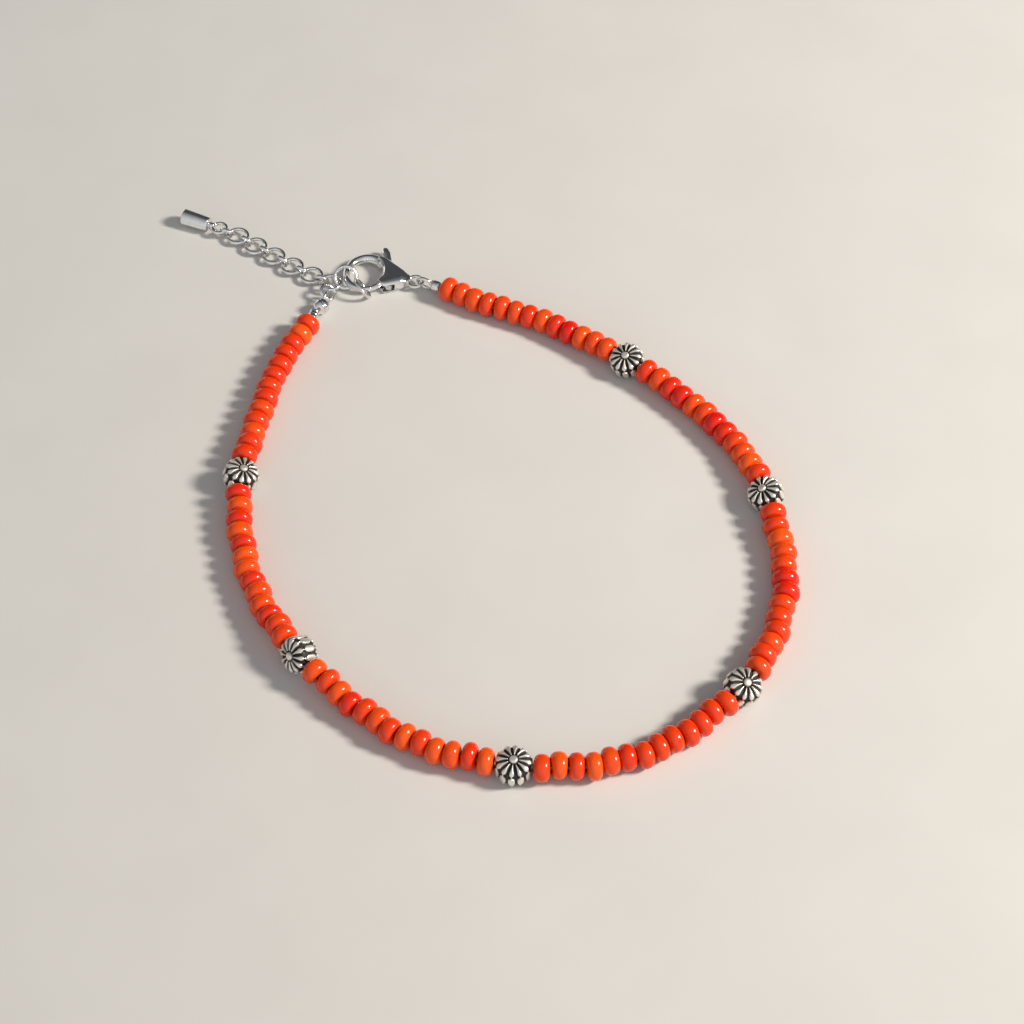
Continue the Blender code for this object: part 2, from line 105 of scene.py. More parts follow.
class Wave:
    """A shader value: arithmetic on it adds Math nodes to its tree."""

    def __init__(self, maker: "Nodes", socket: bpy.types.NodeSocket) -> None:
        """Hold the socket and the nodes that own it."""
        self.maker = maker
        self.socket = socket

    def _join(self, operation: str, first: object, second: object, clamp: bool = False) -> "Wave":
        """Add a Math node.

        Args:
            operation: The node's operation.
            first: A value or a number.
            second: A value or a number.
            clamp: Whether the result is kept from 0 to 1.

        Returns:
            The node's result.
        """
        settings = {"operation": operation, "use_clamp": clamp}
        return self.maker.node("ShaderNodeMath", settings, {0: first, 1: second})

    def __add__(self, other: object) -> "Wave":
        """Add."""
        return self._join("ADD", self, other)

    def __radd__(self, other: object) -> "Wave":
        """Add to a number."""
        return self._join("ADD", other, self)

    def __sub__(self, other: object) -> "Wave":
        """Subtract."""
        return self._join("SUBTRACT", self, other)

    def __rsub__(self, other: object) -> "Wave":
        """Subtract from a number."""
        return self._join("SUBTRACT", other, self)

    def __mul__(self, other: object) -> "Wave":
        """Multiply."""
        return self._join("MULTIPLY", self, other)

    def __rmul__(self, other: object) -> "Wave":
        """Multiply a number."""
        return self._join("MULTIPLY", other, self)

    def clamped(self) -> "Wave":
        """Keep the value from 0 to 1."""
        return self._join("ADD", self, 0.0, clamp=True)


class Nodes:
    """A node tree and what is added to it."""

    def __init__(self, tree: bpy.types.NodeTree) -> None:
        """Hold the tree."""
        self.tree = tree

    def node(self, kind: str, settings: dict, sockets: dict, output: object = 0) -> Wave:
        """Add a node.

        Args:
            kind: The node's type.
            settings: The node's properties, set first.
            sockets: Values or links of its inputs, by name or number.
            output: Name or number of the output to return.

        Returns:
            That output.
        """
        made = self.tree.nodes.new(kind)
        for key, value in settings.items():
            if key == "stops":
                self._stops(made, value)
            else:
                setattr(made, key, value)
        for key, value in sockets.items():
            self.feed(made.inputs[key], value)
        return Wave(self, made.outputs[output])

    def _stops(self, ramp: bpy.types.Node, stops: list) -> None:
        """Set a colour ramp's stops, given as place and grey level."""
        elements = ramp.color_ramp.elements
        for index, (place, level) in enumerate(stops):
            stop = elements[index] if index < len(elements) else elements.new(place)
            stop.position = place
            stop.color = (level, level, level, 1.0)

    def feed(self, socket: bpy.types.NodeSocket, value: object) -> None:
        """Link a value to a socket, or set the socket to a number or colour."""
        if isinstance(value, Wave):
            self.tree.links.new(value.socket, socket)
        else:
            socket.default_value = value


class Shader(Nodes):
    """A material and the nodes that feed its Principled surface."""

    def __init__(self, name: str) -> None:
        """Make an empty material of that name."""
        self.material = bpy.data.materials.new(name)
        self.material.use_nodes = True
        super().__init__(self.material.node_tree)
        self.surface = self.tree.nodes["Principled BSDF"]

    def set(self, **inputs: object) -> None:
        """Feed the Principled surface; underscores in names stand for spaces."""
        for name, value in inputs.items():
            self.feed(self.surface.inputs[name.replace("_", " ")], value)

    def painted(self, name: str) -> Wave:
        """Return a value painted on the mesh's points."""
        return self.node("ShaderNodeAttribute", {"attribute_name": name}, {}, "Fac")

    def noise(self, scale: float, detail: float = 2.0, stretch: tuple = (1.0, 1.0, 1.0)) -> Wave:
        """Return noise in object space.

        Args:
            scale: Lumps per metre.
            detail: Octaves.
            stretch: Scale along each axis.

        Returns:
            The noise, about 0 to 1.
        """
        place = self.node("ShaderNodeTexCoord", {}, {}, "Object")
        spread = self.node("ShaderNodeMapping", {}, {"Vector": place, "Scale": stretch})
        sockets = {"Vector": spread, "Scale": scale, "Detail": detail}
        return self.node("ShaderNodeTexNoise", {}, sockets, "Fac")

    def ramp(self, value: Wave, stops: list) -> Wave:
        """Return a value through a grey ramp of (place, level) stops."""
        return self.node("ShaderNodeValToRGB", {"stops": stops}, {"Fac": value})

    def blend(self, share: Wave, first: object, second: object) -> Wave:
        """Mix two colours.

        Args:
            share: How much of the second.
            first: A colour or a link.
            second: A colour or a link.

        Returns:
            The mixed colour.
        """
        sockets = {"Factor": share, 6: first, 7: second}
        return self.node("ShaderNodeMix", {"data_type": "RGBA"}, sockets, 2)

    def bump(self, height: Wave, strength: float, distance: float) -> None:
        """Feed the surface's normal from a height in metres times the distance."""
        sockets = {"Height": height, "Strength": strength, "Distance": distance}
        self.set(Normal=self.node("ShaderNodeBump", {}, sockets))


@dataclass(frozen=True)
class BeadGlass:
    """Opaque orange-red glass, a little redder or more orange from bead to bead, with painted shade in and
    round the hole.
    """

    deep: tuple = (0.7, 0.008, 0.002, 1.0)
    bright: tuple = (0.87, 0.092, 0.005, 1.0)
    hole_shade: tuple = (0.35, 0.006, 0.002, 1.0)
    roughness: float = 0.22

    def material(self) -> bpy.types.Material:
        """Make the glass."""
        shade = Shader("bead_glass")
        tint = shade.painted("tint")
        streak = shade.noise(700.0, 3.0, (1.0, 1.0, 2.2))
        share = (tint * 0.95 + streak * 0.4 - 0.17).clamped()
        body = shade.blend(share, self.deep, self.bright)
        # Painted shade: the glass turns a shaded dark red in and round the hole, where neighbouring beads
        # meet.
        body = shade.blend((shade.painted("groove") * 0.8).clamped(), body, self.hole_shade)
        dimple = shade.noise(2600.0, 2.0)
        shade.set(
            Base_Color=body,
            Roughness=(dimple * 0.12 + (self.roughness - 0.06)).clamped(),
            Specular_IOR_Level=0.36,
            Coat_Weight=0.1,
            Coat_Roughness=0.12,
            Subsurface_Weight=0.12,
            Subsurface_Scale=0.0009,
        )
        shade.surface.inputs["Subsurface Radius"].default_value = (1.0, 0.18, 0.06)
        lumps = shade.noise(500.0, 1.0) + dimple * 0.05
        shade.bump(lumps, 0.3, 0.0001)
        return shade.material


@dataclass(frozen=True)
class ThreadNylon:
    """Pale twisted beading thread."""

    colour: tuple = (0.74, 0.66, 0.56, 1.0)
    shade_colour: tuple = (0.48, 0.4, 0.33, 1.0)

    def material(self) -> bpy.types.Material:
        """Make the thread."""
        shade = Shader("thread_nylon")
        twist = shade.node(
            "ShaderNodeTexWave",
            {"bands_direction": "DIAGONAL"},
            {"Scale": 900.0, "Distortion": 0.4},
            "Fac",
        )
        shade.set(
            Base_Color=shade.blend(twist, self.shade_colour, self.colour),
            Roughness=twist * 0.2 + 0.4,
        )
        shade.bump(twist, 0.6, 0.00004)
        return shade.material


@dataclass(frozen=True)
class WornSilver:
    """Antiqued silver: grooves oxidised dark, painted shade in the drilled hole, worn bright on the ridges.
    """

    worn: tuple = (0.88, 0.83, 0.75, 1.0)
    dull: tuple = (0.5, 0.46, 0.4, 1.0)
    # Dark colour of oxidised silver, also used as painted shade in the drilled hole.
    oxidised_and_shade_colour: tuple = (0.02, 0.018, 0.018, 1.0)

    def material(self) -> bpy.types.Material:
        """Make the antiqued silver."""
        shade = Shader("worn_silver")
        groove = shade.painted("groove")
        patches = shade.noise(1500.0, 4.0)
        # Oxide and painted shade: the grooves darken as oxidised silver, and each daisy's drilled hole is
        # painted dark as shade.
        oxidised_and_hole_shade = (groove * 1.6 + patches * 0.5 - 0.42).clamped()
        film = shade.blend((patches * 0.9 + groove * 0.5 - 0.32).clamped(), self.worn, self.dull)
        shade.set(
            Base_Color=shade.blend(oxidised_and_hole_shade, film, self.oxidised_and_shade_colour),
            Metallic=0.72 - oxidised_and_hole_shade * 0.5,
            Roughness=(patches * 0.24 + groove * 0.3 + 0.2).clamped(),
        )
        pits = shade.noise(5200.0, 3.0)
        shade.bump(pits * 0.5 + patches, 0.35, 0.00005)
        return shade.material


@dataclass(frozen=True)
class PolishedSilver:
    """Mirror polished silver plate with faint scratches and a little tarnish in the hollows."""

    name: str
    bright: tuple = (0.88, 0.88, 0.87, 1.0)
    tarnish: tuple = (0.5, 0.47, 0.42, 1.0)
    roughness: float = 0.07

    def material(self) -> bpy.types.Material:
        """Make the polished silver."""
        shade = Shader(self.name)
        cloud = shade.noise(900.0, 4.0)
        scratches = shade.ramp(shade.noise(2400.0, 2.0, (1.0, 14.0, 1.0)), [(0.62, 0.0), (0.72, 1.0)])
        stain = ((cloud - 0.46) * 1.8).clamped() + shade.painted("groove") * 0.9
        shade.set(
            Base_Color=shade.blend((stain * 0.7).clamped(), self.bright, self.tarnish),
            Metallic=1.0,
            Roughness=(cloud * 0.1 + scratches * 0.14 + (self.roughness - 0.03)).clamped(),
        )
        waves = shade.noise(420.0, 1.0)
        shade.bump(waves - scratches * 0.12, 0.25, 0.00008)
        return shade.material


@dataclass
class Finishes:
    """The anklet's finishes, made once."""

    glass: bpy.types.Material = field(default_factory=lambda: BeadGlass().material())
    thread: bpy.types.Material = field(default_factory=lambda: ThreadNylon().material())
    worn: bpy.types.Material = field(default_factory=lambda: WornSilver().material())
    clasp: bpy.types.Material = field(default_factory=lambda: PolishedSilver("clasp_silver").material())
    wire: bpy.types.Material = field(
        default_factory=lambda: PolishedSilver("wire_silver", roughness=0.12).material()
    )


class Draft:
    """Closed shells of points and faces with painted values, gathered into one mesh object."""

    def __init__(self) -> None:
        """Start with nothing."""
        self.points: list[np.ndarray] = []
        self.faces: list[tuple] = []
        self.slots: list[int] = []
        self.paint: dict[str, list[np.ndarray]] = {"tint": [], "groove": []}
        self.count = 0

    def _add(self, points: np.ndarray, faces: list, slot: int, paint: Paint) -> None:
        """Add one shell.

        Args:
            points: Its points, one row each.
            faces: Its faces, as point numbers in the shell.
            slot: Its material's place on the object.
            paint: Values painted on its points, by name.
        """
        self.points.append(points)
        self.faces.extend(tuple(self.count + corner for corner in face) for face in faces)
        self.slots.extend([slot] * len(faces))
        for name, values in self.paint.items():
            values.append(np.broadcast_to(paint.get(name, 0.0), len(points)).astype(float))
        self.count += len(points)

    def ringed(self, rows: np.ndarray, looped: bool, slot: int = 0, paint: Paint | None = None) -> None:
        """Add a surface of rings of points.

        Args:
            rows: Array of rings, each a closed row of points.
            looped: Whether the last ring joins the first; else both ends are capped.
            slot: Its material's place on the object.
            paint: Values painted on its points, one row for each ring.
        """
        rings, around = rows.shape[:2]
        faces = []
        for ring in range(rings if looped else rings - 1):
            here, ahead = ring * around, (ring + 1) % rings * around
            for side in range(around):
                turn = (side + 1) % around
                faces.append((here + side, here + turn, ahead + turn, ahead + side))
        if not looped:
            faces.append(tuple(range(around))[::-1])
            faces.append(tuple((rings - 1) * around + side for side in range(around)))
        flat = {name: values.reshape(-1) for name, values in (paint or {}).items()}
        self._add(rows.reshape(-1, 3), faces, slot, flat)

    def plate(self, outline: np.ndarray, low: float, high: float) -> None:
        """Add a flat plate.

        Args:
            outline: Its outline in plan, anticlockwise.
            low: Height of its underside.
            high: Height of its top.
        """
        number = len(outline)
        under = np.column_stack([outline, np.full(number, low)])
        over = np.column_stack([outline, np.full(number, high)])
        faces = [tuple(range(number))[::-1], tuple(range(number, 2 * number))]
        for side in range(number):
            turn = (side + 1) % number
            faces.append((side, turn, number + turn, number + side))
        self._add(np.concatenate([under, over]), faces, 0, {})

    def made(self, name: str, matrix: Matrix, *materials: bpy.types.Material) -> bpy.types.Object:
        """Make the mesh object.

        Args:
            name: The object's name.
            matrix: Where its points go, in metres.
            materials: Its materials, in the order of the slots.

        Returns:
            The object, smooth shaded and nowhere below the ground.
        """
        mesh = bpy.data.meshes.new(name)
        mesh.from_pydata(np.concatenate(self.points).tolist(), [], self.faces)
        for key, values in self.paint.items():
            layer = mesh.attributes.new(key, "FLOAT", "POINT")
            layer.data.foreach_set("value", np.concatenate(values).astype(np.float32))
        mesh.polygons.foreach_set("material_index", self.slots)
        mesh.transform(matrix)
        for vertex in mesh.vertices:
            vertex.co.z = max(vertex.co.z, 0.0)
        for material in materials:
            mesh.materials.append(material)
        shape = bmesh.new()
        shape.from_mesh(mesh)
        bmesh.ops.remove_doubles(shape, verts=shape.verts, dist=1e-8)
        bmesh.ops.recalc_face_normals(shape, faces=shape.faces)
        shape.to_mesh(mesh)
        shape.free()
        mesh.shade_smooth()
        item = bpy.data.objects.new(name, mesh)
        bpy.context.scene.collection.objects.link(item)
        return item


def turned(profile: list, sides: int) -> np.ndarray:
    """Turn a profile about Z.

    Args:
        profile: Rows of radius and height.
        sides: Points round the axis.

    Returns:
        Rings of points.
    """
    angles = np.linspace(0.0, 2 * np.pi, sides, endpoint=False)
    table = np.array(profile, float)
    radius, height = table[:, :1], table[:, 1:2]
    flat = np.stack([radius * np.cos(angles), radius * np.sin(angles)], axis=-1)
    return np.concatenate([flat, np.broadcast_to(height[..., None], (*flat.shape[:2], 1))], axis=-1)


def rounded(corners: list, radius: float, steps: int = 5) -> list:
    """Round the corners of an open profile.

    Args:
        corners: Rows of radius and height.
        radius: How far from each corner the rounding starts.
        steps: Points on each rounding.

    Returns:
        The rounded profile.
    """
    points = [np.array(corner, float) for corner in corners]
    path = [points[0]]
    for before, corner, after in zip(points, points[1:], points[2:]):
        reach = min(radius, np.linalg.norm(corner - before) / 2, np.linalg.norm(after - corner) / 2)
        start = corner + (before - corner) / np.linalg.norm(before - corner) * reach
        end = corner + (after - corner) / np.linalg.norm(after - corner) * reach
        for step in range(steps):
            t = step / (steps - 1)
            path.append((1 - t) ** 2 * start + 2 * t * (1 - t) * corner + t * t * end)
    path.append(points[-1])
    return [tuple(point) for point in path]


def swept(points: np.ndarray, radii: np.ndarray, sides: int, closed: bool = False) -> np.ndarray:
    """Sweep a circle along a line.

    Args:
        points: The line's points.
        radii: The circle's radius at each.
        sides: Points round the circle.
        closed: Whether the line is a closed loop in one plane.

    Returns:
        Rings of points.
    """
    if closed:
        along = np.roll(points, -1, 0) - np.roll(points, 1, 0)
    else:
        along = np.gradient(points, axis=0)
    along /= np.linalg.norm(along, axis=1, keepdims=True)
    up = np.array((0.0, 0.0, 1.0))
    across = np.cross(up, along)
    across /= np.linalg.norm(across, axis=1, keepdims=True)
    over = np.cross(along, across)
    angles = np.linspace(0.0, 2 * np.pi, sides, endpoint=False)
    size = np.asarray(radii, float)[:, None, None]
    circle = np.cos(angles)[None, :, None] * across[:, None] + np.sin(angles)[None, :, None] * over[:, None]
    return points[:, None] + size * circle


def round_ended(points: np.ndarray, radii: np.ndarray) -> tuple:
    """Add rounded ends to a swept bar.

    Args:
        points: The line's points.
        radii: The radius at each.

    Returns:
        The longer line and its radii.
    """
    first = points[0] - points[1]
    last = points[-1] - points[-2]
    first /= np.linalg.norm(first)
    last /= np.linalg.norm(last)
    angles = np.radians((18, 36, 54, 72, 88))
    head = [points[0] + first * radii[0] * math.sin(a) for a in angles][::-1]
    tail = [points[-1] + last * radii[-1] * math.sin(a) for a in angles]
    sizes = np.cos(angles)
    line = np.concatenate([head, points, tail])
    return line, np.concatenate([radii[0] * sizes[::-1], radii, radii[-1] * sizes])


def smooth_through(points: np.ndarray, steps: int) -> np.ndarray:
    """Return a smooth curve through points.

    Args:
        points: The points, one row each.
        steps: Pieces between two points.

    Returns:
        The curve's points.
    """
    chain = np.concatenate([2 * points[:1] - points[1:2], points, 2 * points[-1:] - points[-2:-1]])
    curve = []
    for before, start, end, after in zip(chain, chain[1:], chain[2:], chain[3:]):
        for step in range(steps):
            t = step / steps
            bend = 2 * before - 5 * start + 4 * end - after
            twist = 3 * start - before - 3 * end + after
            curve.append(start + 0.5 * t * ((end - before) + t * (bend + t * twist)))
    return np.array([*curve, points[-1]])


def shown(item: bpy.types.Object, body: str, slot: Slot, *nodes: str) -> None:
    """Let a piece ride on its body and stand for its nodes.

    Args:
        item: The piece.
        body: The body that carries it.
        slot: The record's slot of its finish. Not used.
        nodes: The CAD nodes it stands for.
    """
    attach(item, body)
    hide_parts(*nodes)


@dataclass
class ThreadRoute:
    """The line of the thread in millimetres, the same as in the solids."""

    plan: tuple = (
        (-9.5, 38.3), (-3.3, 35.1), (4.9, 31.5), (15.2, 24.4), (23.3, 17.0), (29.0, 9.3),
        (32.0, 1.2), (33.6, -10.2), (32.0, -19.5), (27.3, -28.6), (18.2, -36.4),
        (9.6, -39.4), (0.2, -39.6), (-10.2, -36.8), (-18.4, -31.2), (-25.4, -24.1),
        (-31.0, -14.6), (-33.7, -5.4), (-34.4, 4.4), (-32.7, 15.4), (-30.6, 24.0),
        (-27.0, 32.2),
    )
    daisy_points: tuple = (3, 6, 9, 12, 15, 18)
    daisy_rises: tuple = (0.432, 0.481, 0.458, 0.188, 0.831, 0.419)
    rest_height: float = 1.55
    reach: float = 2.3
    rise_reach: float = 4.0
    steps: int = 24

    def __post_init__(self) -> None:
        """Measure the route."""
        flat = smooth_through(np.array(self.plan, float), self.steps)
        self.line = np.column_stack([flat, np.zeros(len(flat))])
        lengths = np.linalg.norm(np.diff(self.line, axis=0), axis=1)
        self.distance = np.concatenate([[0.0], np.cumsum(lengths)])
        self.length = float(self.distance[-1])
        self.daisies = [float(self.distance[mark * self.steps]) for mark in self.daisy_points]

    def point(self, along: float) -> np.ndarray:
        """Return the point at a distance along the thread."""
        along = min(max(along, 0.0), self.length)
        x, y = (np.interp(along, self.distance, self.line[:, axis]) for axis in (0, 1))
        height = self.rest_height
        for place, rise in zip(self.daisies, self.daisy_rises):
            away = max(0.0, abs(along - place) - self.reach) / self.rise_reach
            height += rise * math.exp(-away * away)
        return np.array((x, y, height))

    def tangent(self, along: float) -> np.ndarray:
        """Return the unit direction at a distance along the thread."""
        step = self.point(min(along + 0.3, self.length)) - self.point(max(along - 0.3, 0.0))
        return step / np.linalg.norm(step)


@dataclass
class BeadStrings:
    """Seven stretches of seed beads, each bead a little different, on their thread."""

    route: ThreadRoute
    finishes: Finishes
    counts: tuple = (13, 12, 13, 13, 13, 13, 13)
    diameter: float = 3.38
    hole: float = 0.84
    waist: float = 0.62
    wander: float = 0.15
    clear: float = 2.25
    sides: int = 36
    profile_steps: int = 24
    thread_radius: float = 0.25
    end_stub: float = 0.3
    daisy_stub: float = 0.3
    thread_steps: int = 60
    thread_sides: int = 10

    def build(self) -> None:
        """Build every stretch."""
        spots = self.route.daisies
        starts = [0.0] + [place + self.clear for place in spots]
        ends = [place - self.clear for place in spots] + [self.route.length]
        number = 0
        for index, (start, end, count) in enumerate(zip(starts, ends, self.counts)):
            draft = Draft()
            for bead in range(count):
                pitch = (end - start) / count
                self._bead(draft, start + (bead + 0.5) * pitch, pitch, number)
                number += 1
            before = self.clear - self.daisy_stub if index else self.end_stub
            after = self.clear - self.daisy_stub if index + 1 < len(starts) else self.end_stub
            self._thread(draft, start - before, end + after)
            item = draft.made(
                f"beads_{index + 1}", Matrix.Identity(4), self.finishes.glass, self.finishes.thread
            )
            shown(item, BODY, Slot.GLASS, f"bead_string_{index + 1}")
            log.info("beads_%d: %d beads", index + 1, count)

    def _bead(self, draft: Draft, along: float, pitch: float, number: int) -> None:
        """Add one bead.

        Args:
            draft: The stretch's shells.
            along: Where its middle is along the thread.
            pitch: Room along the thread.
            number: Its number round the anklet.
        """
        dice = random.Random(700 + number)
        direction = Vector(self.route.tangent(along))
        side = Vector((-direction.y, direction.x, 0.0)).normalized()
        sway = self.wander * (math.sin(1.9 * number) + 0.6 * math.sin(4.3 * number + 1.0))
        middle = Vector(self.route.point(along)) + side * sway
        lean = direction + side * dice.uniform(-0.07, 0.07) + Vector((0, 0, dice.uniform(-0.05, 0.05)))
        size = dice.uniform(0.965, 1.02)
        half = pitch / 2 * dice.uniform(0.95, 1.03)
        outer, inner = self.diameter / 2 * size, self.hole / 2
        middle.z += self.diameter / 2 - self.route.rest_height
        squareness = dice.uniform(2.15, 2.5)
        turns = np.linspace(0.0, 2 * np.pi, self.profile_steps, endpoint=False)
        cosine, sine = np.cos(turns), np.sin(turns)
        x = half * np.sign(cosine) * np.abs(cosine) ** (2 / squareness)
        reach = np.where(sine > 0.0, outer - self.waist, self.waist - inner)
        r = self.waist + reach * np.sign(sine) * np.abs(sine) ** (2 / squareness)
        angles = np.linspace(0.0, 2 * np.pi, self.sides, endpoint=False)
        phase = dice.uniform(0.0, 6.28)
        oval = 1.0 + dice.uniform(0.0, 0.014) * np.cos(2 * angles + phase)
        skew = dice.uniform(-0.05, 0.05) * np.cos(angles + phase)
        ring_x = x[:, None] * (1.0 + skew[None] * 2.0)
        ring_r = r[:, None] * oval[None]
        rows = np.stack([ring_r * np.cos(angles), ring_r * np.sin(angles), ring_x], axis=-1)
        turn = np.array(lean.normalized().to_track_quat("Z", "Y").to_matrix())
        rows = rows @ turn.T + np.array(middle)
        rows[..., 2] = np.maximum(rows[..., 2], 0.0)
        rows = (rows - np.array(LAYOUT_ORIGIN)) * MM
        shape = rows.shape[:2]
        # Painted shade: points near the hole are marked to darken, standing in for the shade in the bore and
        # between neighbouring beads.
        inside = np.broadcast_to(np.clip(1.0 - (r - inner) / 0.3, 0.0, 1.0)[:, None], shape)
        tint = np.full(shape, min(1.0, max(0.0, dice.gauss(0.5, 0.3))))
        draft.ringed(rows, True, 0, {"tint": tint, "groove": inside})

    def _thread(self, draft: Draft, start: float, end: float) -> None:
        """Add the stretch's thread.

        Args:
            draft: The stretch's shells.
            start: Where it starts along the route.
            end: Where it ends.
        """
        places = np.linspace(max(start, 0.0), min(end, self.route.length), self.thread_steps)
        line = np.array([self.route.point(place) for place in places])
        rows = swept(line, np.full(len(line), self.thread_radius), self.thread_sides)
        draft.ringed((rows - np.array(LAYOUT_ORIGIN)) * MM, False, 1)


@dataclass
class DaisyBeads:
    """Six cast daisy beads with petals on both faces, drilled across for the thread."""

    route: ThreadRoute
    finishes: Finishes
    leans: tuple = (-20.0, -24.0, 22.0, 6.0, 62.0, -19.0)
    petals: int = 12
    radius: float = 2.3
    half_height: float = 1.62
    boss_radius: float = 0.5
    boss_top: float = 1.72
    hole_radius: float = 0.5
    petal_end: float = 1.1
    petal_rounding: float = 0.35
    belt: float = 0.72
    belt_width: float = 0.62
    groove_depth: float = 0.3
    rows: int = 96
    points_per_petal: int = 18

    def build(self) -> None:
        """Build every daisy bead."""
        for index, (place, lean) in enumerate(zip(self.route.daisies, self.leans)):
            draft = Draft()
            rows, groove = self._surface(index)
            draft.ringed(rows, False, 0, {"groove": groove})
            direction = self.route.tangent(place)
            yaw = math.atan2(direction[1], direction[0])
            turn = Matrix.Rotation(yaw, 4, "Z") @ Matrix.Rotation(-math.radians(lean), 4, "X")
            matrix = Matrix.Translation(placed(*self.route.point(place))) @ turn @ Matrix.Scale(MM, 4)
            item = draft.made(f"daisy_{index + 1}", matrix, self.finishes.worn)
            shown(item, BODY, Slot.OLD_SILVER, f"daisy_bead_{index + 1}")
            log.info("daisy_%d: %d petals a face", index + 1, self.petals)

    def _surface(self, index: int) -> tuple:
        """Shape one bead's petals.

        Args:
            index: The bead's number, which varies its casting a little.

        Returns:
            Rings of points from the top to the underside, and how dark each is painted: oxidised by how deep
            it lies in a groove, and painted shade in the drilled hole.
        """
        dice = np.random.default_rng(40 + index)
        around = self.petals * self.points_per_petal
        angles = np.arange(around) * 2 * np.pi / around
        polar = np.linspace(0.012, np.pi - 0.012, 3001)
        sine, cosine = np.abs(np.sin(polar)), np.cos(polar)
        fine_r = self.radius * sine ** 0.5
        fine_h = self.half_height * np.sign(cosine) * np.abs(cosine) ** 0.56
        length = np.concatenate([[0.0], np.cumsum(np.hypot(np.diff(fine_r), np.diff(fine_h)))])
        places = np.linspace(0.0, length[-1], self.rows)
        body_r, body_h = np.interp(places, length, fine_r), np.interp(places, length, fine_h)
        grid_r = np.broadcast_to(body_r[:, None], (self.rows, around)).copy()
        grid_h = np.broadcast_to(body_h[:, None], (self.rows, around)).copy()
        turns = angles * self.petals / (2 * np.pi)
        off = np.abs((turns + 0.5) % 1.0 - 0.5)[None] * 2
        vary = 1.0 + 0.12 * dice.standard_normal(self.petals)
        petal = np.round(turns).astype(int) % self.petals
        lean_out = np.clip(grid_r / self.radius, 0.0, 1.0) ** 6
        level = np.abs(grid_h)
        rounding = self.petal_rounding
        ends = np.clip((self.petal_end + rounding - level) / rounding, 0.0, 1.0)
        widen = np.clip((grid_r - 0.6) / 1.2, 0.0, 1.0)
        petal_width = (0.2 + 0.3 * widen ** 2) * (1.0 - ends ** 2) ** 0.5 * vary[petal][None]
        belt = self.belt_width * (1.0 - np.clip(level / self.belt, 0.0, 1.0) ** 4) ** 0.5
        petal_width = np.maximum(petal_width, belt)
        edge = np.clip((off - petal_width) / 0.26, 0.0, 1.0)
        crown = edge * edge * (3.0 - 2.0 * edge)
        domed = (off / (petal_width + 0.05)).clip(0.0, 1.0) ** 2 * 0.05
        inner = np.clip((grid_r - 0.5) / 0.15, 0.0, 1.0)
        depth = (self.groove_depth * crown + domed) * inner
        collar = np.exp(-(((grid_r - 0.58) / 0.08) ** 2)) * 0.2
        boss = np.clip(1.0 - (grid_r / self.boss_radius) ** 2, 0.0, 1.0) ** 0.5
        top = np.sign(grid_h)
        grid_h -= top * ((depth + collar) * (1 - lean_out) + depth * lean_out * 0.3)
        grid_h += top * boss * (self.boss_top - self.half_height + 0.1)
        grid_r -= depth * lean_out
        rows = np.stack([grid_r * np.cos(angles), grid_r * np.sin(angles), grid_h], axis=-1)
        away = np.hypot(rows[..., 1], rows[..., 2])
        drilled = np.clip(1.0 - (away / self.hole_radius) ** 8, 0.0, 1.0)
        rows[..., 0] -= np.sign(rows[..., 0]) * drilled * 0.75 * (np.abs(rows[..., 0]) > 1.2)
        dark = crown * inner + collar / 0.2
        # Painted shade: the drilled hole is painted fully dark on top of the oxidised grooves.
        return rows, np.clip(dark + drilled * (away < self.hole_radius), 0.0, 1.0)


